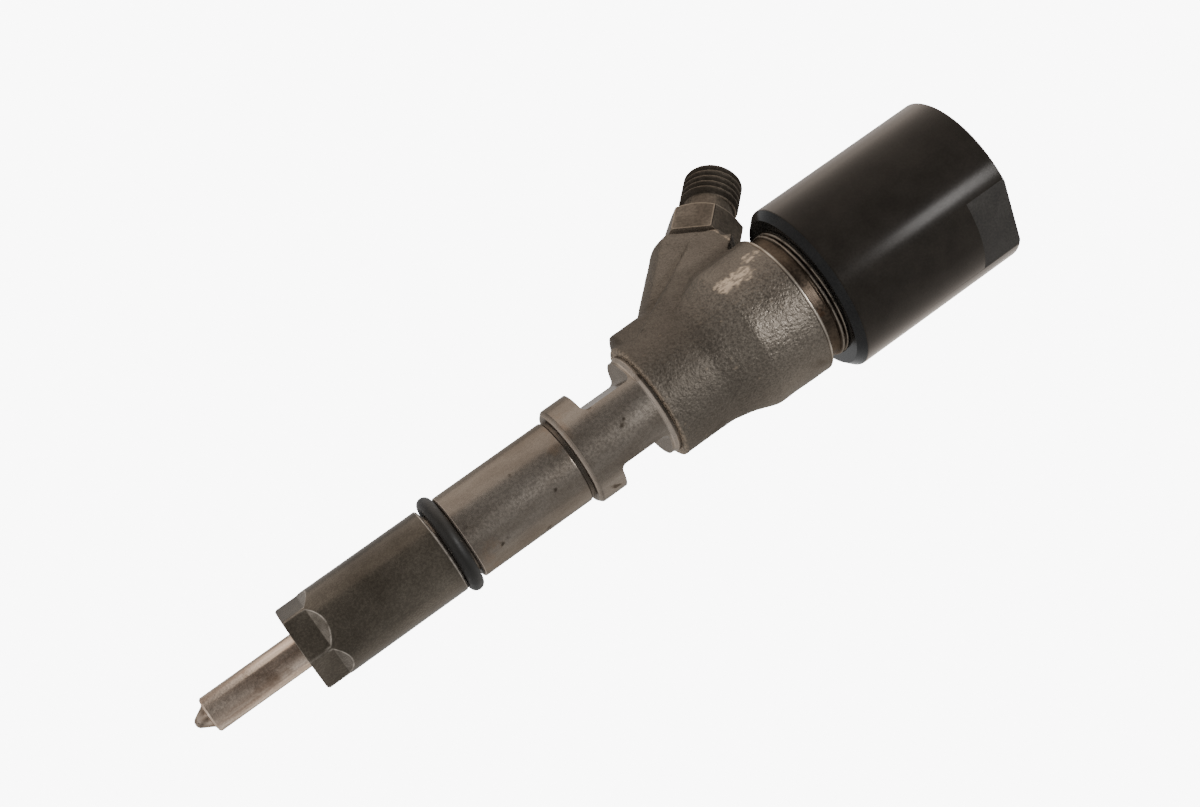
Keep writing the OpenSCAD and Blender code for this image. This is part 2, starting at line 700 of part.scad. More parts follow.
nozzle_body();
nozzle_needle();
nozzle_nut();
nozzle_dowel_pins();
spring_seat();
nozzle_spring();
spring_shim();
body_oring();
holder_body();
control_piston();
valve_seal_ring();
valve_backup_ring();
valve_body();
valve_clamp_screw();
valve_ball();
ball_guide();
lift_shim();
armature_guide();
overtravel_spring();
armature_stem();
armature_plate();
stem_clip();
air_gap_shim();
magnet_core();
coil_bobbin();
coil_winding();
armature_spring();
spring_force_shim();
magnet_housing();
magnet_oring();
coil_leads();
terminal_block();
terminal_studs();
terminal_nuts();
solenoid_cap_nut();
inlet_connector();
edge_filter();
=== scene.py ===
import math

import bmesh
import bpy
import numpy as np
from mathutils import Matrix, Vector, noise


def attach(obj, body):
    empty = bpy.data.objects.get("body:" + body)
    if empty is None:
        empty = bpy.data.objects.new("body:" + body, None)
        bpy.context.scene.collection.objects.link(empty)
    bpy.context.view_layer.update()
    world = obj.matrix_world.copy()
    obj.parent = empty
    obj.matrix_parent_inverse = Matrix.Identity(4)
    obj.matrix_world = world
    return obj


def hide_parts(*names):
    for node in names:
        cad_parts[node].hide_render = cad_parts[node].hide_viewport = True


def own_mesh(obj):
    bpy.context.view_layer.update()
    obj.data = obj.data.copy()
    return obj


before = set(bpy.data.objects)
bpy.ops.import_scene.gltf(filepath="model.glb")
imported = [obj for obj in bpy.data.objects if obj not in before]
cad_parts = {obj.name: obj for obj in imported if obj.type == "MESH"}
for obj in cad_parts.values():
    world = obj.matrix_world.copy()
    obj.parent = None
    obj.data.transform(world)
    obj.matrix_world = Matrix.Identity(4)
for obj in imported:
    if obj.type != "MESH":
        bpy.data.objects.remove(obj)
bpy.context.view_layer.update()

MM = 0.001
BODY = "injector_body"
INLET_ANGLE = math.radians(46.3)
INLET_Z = 82.9
INLET = Matrix.Translation((0, 0, INLET_Z)) @ Matrix.Rotation(INLET_ANGLE, 4, "Y")


# ---- Materials ----

# Dirt colour, which also paints shade into recesses and onto down-facing parts
DIRT_AND_SHADE = (0.012, 0.010, 0.008)
DIRT_AND_SHADE_ROUGHNESS = (0.8, 0.8, 0.8)


class Nodes:
    """A material's node tree, with short ways to add and join nodes."""

    def __init__(self, name):
        self.material = bpy.data.materials.new(name)
        self.material.use_nodes = True
        self.tree = self.material.node_tree
        self.bsdf = self.tree.nodes["Principled BSDF"]

    def add(self, kind, **values):
        node = self.tree.nodes.new(kind)
        for key, value in values.items():
            if hasattr(node, key):
                setattr(node, key, value)
            else:
                node.inputs[key.replace("_", " ")].default_value = value
        return node

    def join(self, a, b):
        self.tree.links.new(a, b)

    def position(self, stretch=(1, 1, 1), turn=(0, 0, 0)):
        coords = self.add("ShaderNodeTexCoord")
        first = self.add("ShaderNodeMapping")
        first.inputs["Rotation"].default_value = turn
        second = self.add("ShaderNodeMapping")
        second.inputs["Scale"].default_value = stretch
        self.join(coords.outputs["Object"], first.inputs["Vector"])
        self.join(first.outputs["Vector"], second.inputs["Vector"])
        return second.outputs["Vector"]

    def noise(self, at, scale, detail=4.0, rough=0.55):
        node = self.add("ShaderNodeTexNoise")
        node.inputs["Scale"].default_value = scale
        node.inputs["Detail"].default_value = detail
        node.inputs["Roughness"].default_value = rough
        self.join(at, node.inputs["Vector"])
        return node.outputs["Fac"]

    def ramp(self, value, stops):
        node = self.add("ShaderNodeValToRGB")
        elements = node.color_ramp.elements
        while len(elements) < len(stops):
            elements.new(0.5)
        for element, (place, colour) in zip(elements, stops):
            element.position = place
            if not isinstance(colour, (tuple, list)):
                colour = (colour, colour, colour)
            element.color = (*colour, 1)
        self.join(value, node.inputs["Fac"])
        return node.outputs["Color"]

    def mix(self, share, a, b, kind="MIX"):
        node = self.add("ShaderNodeMix", data_type="RGBA", blend_type=kind)
        for socket, value in zip((node.inputs[0], node.inputs[6], node.inputs[7]), (share, a, b)):
            if isinstance(value, bpy.types.NodeSocket):
                self.join(value, socket)
            elif isinstance(value, (tuple, list)):
                socket.default_value = (*value, 1)
            else:
                socket.default_value = value
        return node.outputs[2]

    def span(self, value, low, high, out_low, out_high):
        node = self.add("ShaderNodeMapRange")
        ends = {"From Min": low, "From Max": high, "To Min": out_low, "To Max": out_high}
        for key, number in ends.items():
            node.inputs[key].default_value = number
        self.join(value, node.inputs["Value"])
        return node.outputs["Result"]

    def attribute(self, name):
        return self.add("ShaderNodeAttribute", attribute_name=name).outputs["Fac"]

    def bump(self, heights):
        """Stacks (height, strength, distance in mm) into the normal."""
        last = None
        for value, strength, distance in heights:
            node = self.add("ShaderNodeBump")
            node.inputs["Strength"].default_value = strength
            node.inputs["Distance"].default_value = distance * MM
            self.join(value, node.inputs["Height"])
            if last is not None:
                self.join(last, node.inputs["Normal"])
            last = node.outputs["Normal"]
        self.join(last, self.bsdf.inputs["Normal"])


def metal(name, dark, light, roughness, metallic=0.7, blotch=150, grain=1800, rings=0.0, pits=0.0,
          wear_and_highlight=None, stain=None, spots=None, grime_and_shade=False, edge=(0.55, 0.5, 0.45), shine=0.3,
          ragged=True, contrast=(0.72, 1.18), stretch=(1, 1, 1), turn=(0, 0, 0),
          spread=(0.38, 0.62), grit=0.12):
    """A metal surface: blotches between two colours, fine grain, turning marks, pits, dirt and
    painted shade.

    blotch and grain are noise scales per metre. stain and spots are (colour, scale, threshold).
    A colour for wear shows where its mesh attribute is high, on real wear and on painted
    highlights; the grime colour darkens the same way, with dirt and with painted shade.
    """
    n = Nodes(name)
    at = n.position(turn=turn)
    large = n.noise(n.position(stretch, turn), blotch, 5)
    fine = n.noise(at, grain, 3)
    colour = n.ramp(large, [(spread[0], dark), (spread[1], light)])
    speck = n.ramp(fine, [(0.38, contrast[0]), (0.62, contrast[1])])
    colour = n.mix(1.0, colour, speck, "MULTIPLY")
    if stain:
        patch = n.ramp(n.noise(at, stain[1], 6, 0.6), [(stain[2], 0.0), (stain[2] + 0.12, 1.0)])
        colour = n.mix(patch, colour, stain[0])
    if spots:
        patch = n.ramp(n.noise(at, spots[1], 3, 0.5), [(spots[2], 0.0), (spots[2] + 0.05, 1.0)])
        colour = n.mix(patch, colour, spots[0])
    rough = n.span(fine, 0.3, 0.7, roughness[0], roughness[1])
    # Real wear and painted highlights: the light colour is mixed in where the attribute is high
    if wear_and_highlight:
        share = n.attribute("wear_and_highlight")
        if ragged:
            scratches = n.noise(n.position((1, 1, 0.35), turn), 1500, 2)
            broken = n.ramp(scratches, [(0.42, 0.25), (0.55, 1.0)])
            share = n.mix(1.0, broken, share, "MULTIPLY")
        colour = n.mix(share, colour, wear_and_highlight)
    # Dirt and painted shade: the dark colour is mixed in where the attribute is high
    if grime_and_shade:
        dirt_and_shade = n.attribute("grime_and_shade")
        colour = n.mix(dirt_and_shade, colour, DIRT_AND_SHADE)
        rough = n.mix(dirt_and_shade, rough, DIRT_AND_SHADE_ROUGHNESS)
    n.join(colour, n.bsdf.inputs["Base Color"])
    n.join(rough, n.bsdf.inputs["Roughness"])
    n.bsdf.inputs["Metallic"].default_value = metallic
    n.bsdf.inputs["Specular Tint"].default_value = (*edge, 1)
    n.bsdf.inputs["Specular IOR Level"].default_value = shine
    heights = []
    if rings:
        lines = n.noise(n.position((3, 3, 100), turn), 40, 3, 0.6)
        heights.append((lines, rings, 0.03))
    if pits:
        heights.append((n.noise(at, 2000, 2, 0.5), pits, 0.16))
        heights.append((n.noise(at, 600, 3, 0.5), pits * 0.6, 0.2))
    heights.append((fine, grit, 0.02))
    n.bump(heights)
    return n.material


def plastic(name, dark, light, roughness, grain=900, strength=0.1, shine=0.4):
    """A moulded surface: soft blotches between two colours and a fine grain."""
    n = Nodes(name)
    at = n.position()
    fine = n.noise(at, grain, 3)
    n.join(n.ramp(n.noise(at, 160, 4), [(0.35, dark), (0.65, light)]), n.bsdf.inputs["Base Color"])
    n.join(n.span(fine, 0.3, 0.7, roughness[0], roughness[1]), n.bsdf.inputs["Roughness"])
    n.bsdf.inputs["Specular IOR Level"].default_value = shine
    n.bump([(fine, strength, 0.03)])
    return n.material


INLET_TURN = (0, -INLET_ANGLE, 0)
NUT = metal("nut_finish", (0.037, 0.031, 0.024), (0.079, 0.068, 0.055), (0.22, 0.31),
            0.46, 80, 2200, rings=0.25, wear_and_highlight=(0.60, 0.54, 0.48), ragged=False,
            stain=((0.045, 0.034, 0.024), 90, 0.66), spread=(0.32, 0.68), contrast=(0.85, 1.15))
SHANK = metal("shank_finish", (0.105, 0.088, 0.072), (0.165, 0.144, 0.123), (0.24, 0.34),
              0.75, 95, 2000, rings=0.2, stain=((0.13, 0.088, 0.058), 60, 0.57),
              spots=((0.045, 0.036, 0.028), 240, 0.67), grime_and_shade=True, wear_and_highlight=(0.55, 0.47, 0.40),
              ragged=False, contrast=(0.91, 1.07), stretch=(1.6, 1.6, 0.5))
FORGED = metal("forged_finish", (0.074, 0.063, 0.052), (0.118, 0.103, 0.086), (0.30, 0.56),
               0.65, 60, 2300, pits=1.0, wear_and_highlight=(0.36, 0.29, 0.22),
               stain=((0.052, 0.042, 0.032), 70, 0.62), grime_and_shade=True,
               contrast=(0.80, 1.25), spread=(0.30, 0.70))
TURNED = metal("relief_finish", (0.022, 0.016, 0.012), (0.054, 0.041, 0.030), (0.28, 0.42),
               0.8, 140, 2000, rings=0.5, wear_and_highlight=(0.45, 0.40, 0.34), ragged=False,
               stain=((0.08, 0.040, 0.020), 120, 0.60))
NOZZLE = metal("nozzle_finish", (0.33, 0.245, 0.188), (0.58, 0.475, 0.39), (0.14, 0.24),
               0.95, 330, 2600, rings=0.1, grit=0.03, grime_and_shade=True,
               stain=((0.20, 0.14, 0.10), 120, 0.63), stretch=(1.6, 1.6, 0.16),
               contrast=(0.86, 1.1), edge=(0.75, 0.7, 0.65))
FITTING = metal("fitting_finish", (0.054, 0.044, 0.034), (0.094, 0.079, 0.063), (0.34, 0.50),
                0.6, 140, 1900, pits=0.25, wear_and_highlight=(0.28, 0.23, 0.18), ragged=False, grime_and_shade=True,
                turn=INLET_TURN, contrast=(0.75, 1.25))
CAP = metal("cap_finish", (0.0106, 0.0092, 0.0078), (0.0136, 0.0118, 0.0100), (0.18, 0.23),
            0.0, 200, 2600, rings=0.05, grit=0.03, edge=(0.95, 0.92, 0.9), shine=0.03,
            contrast=(0.92, 1.08))
cap_gloss = CAP.node_tree.nodes["Principled BSDF"].inputs
cap_gloss["Sheen Weight"].default_value = 0.5
cap_gloss["Sheen Roughness"].default_value = 0.35
cap_gloss["Sheen Tint"].default_value = (0.95, 0.80, 0.68, 1)
CAP_EDGE = metal("cap_edge_finish", (0.0070, 0.0066, 0.0062), (0.0100, 0.0095, 0.0090),
                 (0.16, 0.22), 0.0, 200, 2600, grit=0.03, edge=(0.88, 0.93, 1.0), shine=0.12)
CAP_FLAT = metal("cap_flat_finish", (0.0145, 0.0130, 0.0117), (0.0190, 0.0173, 0.0155),
                 (0.5, 0.6), 0.0, 200, 2600, rings=0.12, edge=(0.95, 0.92, 0.9), shine=0.2)
STEEL = metal("ground_steel", (0.42, 0.415, 0.41), (0.48, 0.475, 0.47), (0.20, 0.30),
              0.95, 200, 2400, rings=0.2, contrast=(0.92, 1.05))
DARK_IRON = metal("dark_iron", (0.08, 0.076, 0.072), (0.14, 0.135, 0.13), (0.40, 0.55),
                  0.7, 220, 1800, pits=0.15)
WIRE = metal("spring_wire", (0.23, 0.23, 0.24), (0.28, 0.28, 0.29), (0.24, 0.36),
             0.9, 300, 2600, contrast=(0.90, 1.08))
BRASS = metal("plated_brass", (0.44, 0.31, 0.13), (0.66, 0.50, 0.24), (0.24, 0.36),
              0.95, 240, 2200)
COPPER = metal("copper_wire", (0.38, 0.14, 0.06), (0.62, 0.27, 0.13), (0.28, 0.40),
               0.9, 200, 1600, rings=0.9)
RUBBER = plastic("oring_rubber_look", (0.007, 0.0063, 0.0055), (0.012, 0.0108, 0.0095),
                 (0.45, 0.60), shine=0.25)
MOULDED = plastic("moulded_plastic", (0.018, 0.018, 0.020), (0.030, 0.030, 0.032), (0.42, 0.55))
BOBBIN = plastic("bobbin_plastic_look", (0.10, 0.085, 0.06), (0.15, 0.13, 0.10), (0.45, 0.6))

NODE_LOOKS = {
    "nozzle_body": NOZZLE, "nozzle_needle": STEEL, "nozzle_nut": NUT, "nozzle_dowel_pins": STEEL,
    "spring_seat": STEEL, "nozzle_spring": WIRE, "spring_shim": STEEL, "body_oring": RUBBER,
    "holder_body": FORGED, "control_piston": STEEL, "valve_seal_ring": BRASS,
    "valve_backup_ring": STEEL, "valve_body": STEEL, "valve_clamp_screw": STEEL,
    "valve_ball": STEEL, "ball_guide": STEEL, "lift_shim": STEEL, "armature_guide": STEEL,
    "overtravel_spring": WIRE, "armature_stem": STEEL, "armature_plate": DARK_IRON,
    "stem_clip": WIRE, "air_gap_shim": STEEL, "magnet_core": DARK_IRON, "coil_bobbin": BOBBIN,
    "coil_winding": COPPER, "armature_spring": WIRE, "spring_force_shim": STEEL,
    "magnet_housing": STEEL, "magnet_oring": RUBBER, "coil_leads": COPPER,
    "terminal_block": MOULDED, "terminal_studs": BRASS, "terminal_nuts": BRASS,
    "solenoid_cap_nut": CAP, "inlet_connector": FITTING, "edge_filter": STEEL,
}


def paint(obj, material):
    obj.data.materials.clear()
    obj.data.materials.append(material)


for node_name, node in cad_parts.items():
    paint(node, NODE_LOOKS[node_name])


# ---- Meshes, in millimetres until they are placed ----

def new_object(name, points, faces):
    mesh = bpy.data.meshes.new(name)
    mesh.from_pydata([tuple(p) for p in points], [], faces)
    mesh.validate()
    obj = bpy.data.objects.new(name, mesh)
    bpy.context.collection.objects.link(obj)
    return obj


def rounded(profile, radii, steps=5):
    """Rounds corners of a list of (r, z) points; radii maps a point's index to its radius."""
    out = []
    for i, p in enumerate(profile):
        radius = radii.get(i, 0)
        if not radius:
            out.append(p)
            continue
        p = Vector(p)
        a, b = Vector(profile[i - 1]) - p, Vector(profile[(i + 1) % len(profile)]) - p
        cut = min(radius / math.tan(a.angle(b) / 2), a.length * 0.49, b.length * 0.49)
        start, end = p + a.normalized() * cut, p + b.normalized() * cut
        for k in range(steps + 1):
            t = k / steps
            q = start.lerp(p, t).lerp(p.lerp(end, t), t)
            out.append((q.x, q.y))
    return out


def lathe(name, profile, segments=192, reshape=None):
    """Turns a closed (r, z) outline about Z. reshape(r, z, angle) may change each radius."""
    angles = [2 * math.pi * k / segments for k in range(segments)]
    points, rings = [], []
    for r, z in profile:
        if r < 1e-6:
            rings.append([len(points)])
            points.append((0, 0, z))
            continue
        rings.append(list(range(len(points), len(points) + segments)))
        for a in angles:
            q = reshape(r, z, a) if reshape else r
            points.append((q * math.cos(a), q * math.sin(a), z))
    faces = []
    for low, high in zip(rings, rings[1:] + rings[:1]):
        if len(low) == 1 and len(high) == 1:
            continue
        for k in range(segments):
            m = (k + 1) % segments
            if len(low) == 1:
                faces.append((low[0], high[m], high[k]))
            elif len(high) == 1:
                faces.append((low[k], low[m], high[0]))
            else:
                faces.append((low[k], low[m], high[m], high[k]))
    obj = new_object(name, points, faces)
    fix_normals(obj)
    return obj


def fix_normals(obj):
    bm = bmesh.new()
    bm.from_mesh(obj.data)
    bmesh.ops.recalc_face_normals(bm, faces=bm.faces)
    bm.to_mesh(obj.data)
    bm.free()


def dense(profile, step):
    """Adds points along a profile so that none are further apart than step."""
    out = []
    for a, b in zip(profile, profile[1:]):
        n = max(1, math.ceil((Vector(b) - Vector(a)).length / step))
        out += [tuple(Vector(a).lerp(Vector(b), k / n)) for k in range(n)]
    return out + [profile[-1]]


def cut(obj, tools, kind="DIFFERENCE"):
    """Applies booleans and removes the tools."""
    for tool in tools:
        modifier = obj.modifiers.new("cut", "BOOLEAN")
        modifier.operation, modifier.object, modifier.solver = kind, tool, "EXACT"
    apply_modifiers(obj)
    for tool in tools:
        bpy.data.objects.remove(tool)


def apply_modifiers(obj):
    bpy.context.view_layer.update()
    evaluated = obj.evaluated_get(bpy.context.evaluated_depsgraph_get())
    shaped = bpy.data.meshes.new_from_object(evaluated)
    obj.modifiers.clear()
    obj.data = shaped


def prism(name, outline, z0, z1, axis="Z"):
    """Extrudes a closed outline between two heights. With axis Y the outline is (x, z)."""
    n = len(outline)
    if axis == "Z":
        points = [(x, y, z) for z in (z0, z1) for x, y in outline]
    else:
        points = [(x, y, z) for y in (z0, z1) for x, z in outline]
    faces = [tuple(range(n)), tuple(range(n, 2 * n))]
    faces += [(k, (k + 1) % n, n + (k + 1) % n, n + k) for k in range(n)]
    obj = new_object(name, points, faces)
    fix_normals(obj)
    return obj


def moved(obj, matrix):
    obj.data.transform(matrix)
    obj.data.update()
    return obj


def join(name, objects):
    bm = bmesh.new()
    for o in objects:
        bm.from_mesh(o.data)
    mesh = bpy.data.meshes.new(name)
    bm.to_mesh(mesh)
    bm.free()
    for o in objects:
        bpy.data.objects.remove(o)
    obj = bpy.data.objects.new(name, mesh)
    bpy.context.collection.objects.link(obj)
    return obj


def place(obj, material, nodes=(), sharp=32):
    """Scales a mesh to metres, smooths it, paints it and ties it to the injector body.

    Edges steeper than the sharp angle, in degrees, stay sharp.
    """
    obj.data.transform(Matrix.Scale(MM, 4))
    obj.data.shade_smooth()
    obj.data.set_sharp_from_angle(angle=math.radians(sharp))
    paint(obj, material)
    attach(obj, BODY)
    if nodes:
        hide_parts(*nodes)
    return obj


def mark(obj, name, values):
    """Stores one number per point, which a material reads by name."""
    attribute = obj.data.attributes.new(name, "FLOAT", "POINT")
    attribute.data.foreach_set("value", np.asarray(values, dtype=np.float32))


def coordinates(obj):
    flat = np.empty(len(obj.data.vertices) * 3)
    obj.data.vertices.foreach_get("co", flat)
    return flat.reshape(-1, 3)


# ---- Nozzle ----

SHANK_LEN = 19.3
TIP = -22.15
SPRAY_HOLES = 8
SPRAY_R = 0.1


def circle(radius, count):
    return [(radius * math.cos(a), radius * math.sin(a))
            for a in np.linspace(0, 2 * math.pi, count, endpoint=False)]


def nozzle():
    """The ground shank and its spray nipple, with a thinner neck inside the nut."""
    shank, neck, neck_top = 3.5, 3.2, 4.4
    profile = [(0, TIP), (0.5, TIP + 0.05), (0.95, TIP + 0.4), (1.3, TIP + 1.0),
               (2.3, -SHANK_LEN - 0.1), (3.2, -SHANK_LEN), (shank, -SHANK_LEN + 0.3),
               (shank, 0), (neck, 0), (neck, neck_top), (0, neck_top)]
    profile = rounded(profile, {1: 0.3, 2: 0.4, 3: 0.6, 4: 0.8, 5: 0.2, 6: 0.2})
    body = lathe("nozzle", profile, 128)
    holes = []
    for k in range(SPRAY_HOLES):
        turn = Matrix.Rotation(k * 2 * math.pi / SPRAY_HOLES, 4, "Z")
        tool = prism("hole", circle(SPRAY_R, 12), 0.5, 2)
        tilt = Matrix.Translation((0.2, 0, TIP + 0.95)) @ Matrix.Rotation(math.radians(105), 4, "Y")
        holes.append(moved(tool, turn @ tilt))
    cut(body, holes)
    at = coordinates(body)
    # The tip below the shank is painted darker in noisy patches
    tip_darkening = np.array([0.45 + 0.6 * noise.noise(Vector(p) * 0.9) for p in at])
    mark(body, "grime_and_shade", np.clip(tip_darkening, 0, 1) * (at[:, 2] < -SHANK_LEN - 0.05))
    return place(body, NOZZLE, ["nozzle_body"])


def nut():
    """The nozzle nut: a barrel whose foot has six flats, each ending in an arc."""
    across, flat_h, rise, length, radius = 7.5, 4.6, 1.75, 30.4, 8.5
    foot_r, bore, seat, shoulder = 8.1, 3.62, 7.0, 29.0
    first = math.radians(1.5)

    def reach(z):
        return across + max(0.0, z - flat_h) / rise * (radius - across)

    def shape(r, z, a):
        if r < 7.3 or z > 8:
            return r
        off = (a - first + math.pi / 6) % (math.pi / 3) - math.pi / 6
        return min(r, reach(z) / math.cos(off))

    outer = dense([(foot_r, 0), (radius, 0.4), (radius, 7.0)], 0.12)
    outer += [(radius, length - 0.5), (radius, length - 0.3), (8.2, length)]
    profile = [(bore, 0.6), (4.2, 0)] + dense([(4.2, 0), (foot_r, 0)], 0.3)[1:-1] + outer
    profile += [(seat, length), (seat, shoulder), (bore, shoulder)]
    obj = lathe("nozzle_nut_skin", profile, 360, shape)
    at = coordinates(obj)
    z = at[:, 2]
    r = np.hypot(at[:, 0], at[:, 1])
    a = np.arctan2(at[:, 1], at[:, 0])
    off = (a - first + math.pi / 6) % (math.pi / 3) - math.pi / 6
    limit = (across + np.maximum(0, z - flat_h) / rise * (radius - across)) / np.cos(off)
    on_arc = np.exp(-((limit - radius) / 0.05) ** 2)
    on_arc = on_arc * (z < 7) * (r > 7.3) * np.clip(z - 3.4, 0, 1)
    corner = np.exp(-((np.abs(off) - math.pi / 6) / 0.025) ** 2) * np.clip(4.7 - z, 0, 1)
    slope = ((z > flat_h) & (limit < radius - 0.02)) * 0.12
    # Painted highlight: the rim term lays thin light lines on the top edge and the foot edge
    rim = (z > length - 0.32) * (r > 8.1) * 0.65 + (z < 0.06) * (r > 7.4) * 0.75
    scuff = np.array([0.7 + 0.7 * noise.noise(Vector(p) * 0.9) for p in at])
    worn = np.maximum.reduce([on_arc * 0.7, corner * 0.15, slope, rim]) * scuff
    mark(obj, "wear_and_highlight", np.clip(worn, 0, 1))
    return place(obj, NUT, ["nozzle_nut"], sharp=40)


def oring():
    """The ring sits slightly askew in its groove."""
    mean, section, centre = 8.42, 1.42, 32.2
    points, faces, n, m = [], [], 144, 24
    lean = math.radians(1.5)
    for i in range(n):
        a = 2 * math.pi * i / n
        for k in range(m):
            b = 2 * math.pi * k / m
            r = mean + section * math.cos(b)
            points.append((r * math.cos(a), r * math.sin(a), section * math.sin(b)))
            faces.append((i * m + k, ((i + 1) % n) * m + k,
                          ((i + 1) % n) * m + (k + 1) % m, i * m + (k + 1) % m))
    obj = new_object("oring_skin", points, faces)
    axis = Vector((0.675, -0.735, 0))
    moved(obj, Matrix.Translation((0, 0, centre)) @ Matrix.Rotation(lean, 4, axis))
    fix_normals(obj)
    return place(obj, RUBBER, ["body_oring"])


# ---- Holder body ----

SLOT_Z, SLOT_H, SLOT_AZ = 64.6, 10.4, math.radians(47)
HEAD_Z = 76.8
HEAD_TOP = 109.2
BODY_TOP = 122.6


def arc(cx, cz, r, a0, a1, steps=6):
    return [(cx + r * math.cos(math.radians(a0 + (a1 - a0) * k / steps)),
             cz + r * math.sin(math.radians(a0 + (a1 - a0) * k / steps))) for k in range(steps + 1)]


def stem():
    """The machined stem, from above the nut to just inside the head."""
    low, groove, collar, top = 29.5, 34.0, 58.8, 77.6
    shank, relief, neck, root = 8.5, 8.15, 10.05, 10.4
    profile = [(0, low), (6.9, low), (6.85, groove), (8.2, groove), (shank, groove + 0.3),
               (shank, 34.6), (shank, collar - 0.95), (relief, collar - 0.7), (relief, collar),
               (9.3, collar), (neck, collar + 0.75), (neck, 75.3), (neck, 75.6),
               (root, 76.2), (root, top), (0, top)]
    radii = {3: 0.15, 4: 0.15, 6: 0.3, 8: 0.12, 9: 0.45, 10: 0.5, 12: 0.3, 13: 0.5}
    obj = lathe("stem", rounded(profile, radii), 256)
    tools = []
    depth, corner, slot_top = 6, 1.0, SLOT_Z + SLOT_H
    outline = arc(depth + corner, SLOT_Z + corner, corner, 180, 270)
    outline += [(14, SLOT_Z), (14, slot_top)]
    outline += arc(depth + corner, slot_top - corner, corner, 90, 180)
    for turn in (SLOT_AZ, SLOT_AZ + math.pi):
        slot = prism("slot", outline, -14, 14, "Y")
        tools.append(moved(slot, Matrix.Rotation(turn, 4, "Z")))
    cut(obj, tools)
    at = coordinates(obj)
    z = at[:, 2]
    r = np.hypot(at[:, 0], at[:, 1])
    # Painted shade: the undercut below the collar and the stem just under the head are darkened
    under_collar = (z > collar - 0.8) * (z < collar + 0.1) * (r < 8.45)
    under_head = z > 76.3
    mark(obj, "grime_and_shade", np.maximum(under_collar * 0.25, under_head * 0.2))
    # Painted highlights: light lines on the fillet under the head, the groove edge by the O-ring
    # and the collar edge
    fillet = (z > 75.5) * (z < 76.25)
    groove_edge = (z > groove - 0.1) * (z < groove + 0.35) * (r > 8.1)
    collar_edge = (z > collar) * (z < collar + 0.5) * (r > 9.3)
    mark(obj, "wear_and_highlight", np.maximum.reduce([fillet * 0.3, groove_edge * 0.7, collar_edge * 0.3]))
    return place(obj, SHANK, sharp=30)


def two_circles(r_a, r_b, spacing, n=72):
    """Outline round two circles on the X axis."""
    touch = math.degrees(math.acos((r_a - r_b) / spacing))
    return arc(spacing, 0, r_b, -touch, touch, n // 3) + arc(0, 0, r_a, touch, 360 - touch, n)


def boss_outline(shrink=0.0):
    """Section of the boss in the inlet frame: flat sides, square top, round underside."""
    r, half = 9.35 - shrink, 8.0 - shrink
    turn = math.degrees(math.asin(half / r))
    under = arc(0, 0, r, -turn, turn, 24)
    shoulder, top, top_half = -6.2 + shrink / 2, -8.6 + shrink, 4.2
    return under + [(0, half), (shoulder, half), (top, top_half), (top, -top_half),
                    (shoulder, -half), (0, -half)]


def hull(name, points):
    bm = bmesh.new()
    for p in points:
        bm.verts.new(p)
    bmesh.ops.convex_hull(bm, input=bm.verts)
    loose = [v for v in bm.verts if not v.link_faces]
    bmesh.ops.delete(bm, geom=loose, context="VERTS")
    mesh = bpy.data.meshes.new(name)
    bm.to_mesh(mesh)
    bm.free()
    obj = bpy.data.objects.new(name, mesh)
    bpy.context.collection.objects.link(obj)
    fix_normals(obj)
    return obj


def level(outline, z):
    return [(x, y, z) for x, y in outline]


def block(x0, x1, y, s0, s1):
    return [(x, w, s) for x in (x0, x1) for w in (-y, y) for s in (s0, s1)]


def return_bore():
    """The drilling that slopes down through the far side of the head."""
    start, tilt, azimuth = (9.5, 0, 112.2), math.radians(152), math.radians(-70)
    way = Matrix.Translation(start) @ Matrix.Rotation(tilt, 4, "Y")
    return moved(prism("return_bore", circle(1.0, 24), -1, 15),
                 Matrix.Rotation(azimuth, 4, "Z") @ way)


def head():
    """The forged head: barrels, lobe and boss melted together, then roughened."""
    low_r, top_r, edge = 11.9, 14.5, 0.5
    barrel = lathe("barrel", rounded([
        (0, HEAD_Z), (low_r, HEAD_Z), (low_r, HEAD_Z + 11.6), (12.9, HEAD_Z + 16.0),
        (top_r, HEAD_Z + 20.4), (top_r, HEAD_TOP - 0.15), (0, HEAD_TOP - 0.15)],
        {1: edge, 2: 4, 4: 1.5}), 160)
    cut(barrel, [return_bore()])
    lobe_r = 9.35
    narrow = two_circles(low_r - 1.3, lobe_r - 4.2, 6.0)
    wide = two_circles(low_r - 0.02, lobe_r, 6.7)
    lobe = hull("lobe", level(narrow, HEAD_Z + 0.4) + level(wide, HEAD_Z + 2.3)
                + level(wide, HEAD_Z + 12.5))
    face, slope = 32.8, 2.4
    straight = hull("boss", level(boss_outline(), 8) + level(boss_outline(), face - slope)
                    + level(boss_outline(0.9), face))
    flank = hull("flank", block(-9, -1, 8.0, face - slope - 0.2, face - slope - 0.1)
                 + block(-9, 1, 11, 12, 12.1) + block(-4, 4, 11, 4, 4.1))
    for piece in (straight, flank):
        moved(piece, INLET)
    obj = join("head", [barrel, lobe, straight, flank])
    grid = obj.modifiers.new("grid", "REMESH")
    grid.mode, grid.voxel_size = "VOXEL", 0.26
    apply_modifiers(obj)
    soften(obj)
    return place(obj, FORGED, sharp=180)


